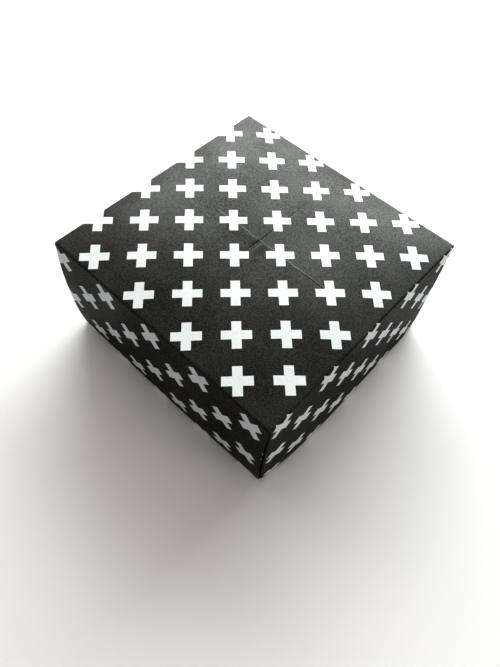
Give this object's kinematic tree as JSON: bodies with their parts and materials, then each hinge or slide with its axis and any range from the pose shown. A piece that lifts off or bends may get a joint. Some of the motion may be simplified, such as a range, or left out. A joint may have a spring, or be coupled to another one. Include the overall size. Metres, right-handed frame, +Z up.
{
  "type": "masu box",
  "caption": "Open square box folded from a printed paper sheet, black with white plus signs, resting on its rim with its base up.",
  "frame": {"origin": "centre of the plane of the rim, on which the box rests with its base up", "axes": "+Z up, out of the base's outer face; wrapped walls face +Y and -Y, plain walls face +X and -X"},
  "size_m": [0.0764, 0.0764, 0.0382],
  "materials": {
    "printed_paper": "satin black print with white plus signs left bare"
  },
  "bodies": {
    "root": {"masu_box": "printed_paper"}
  },
  "joints": []
}
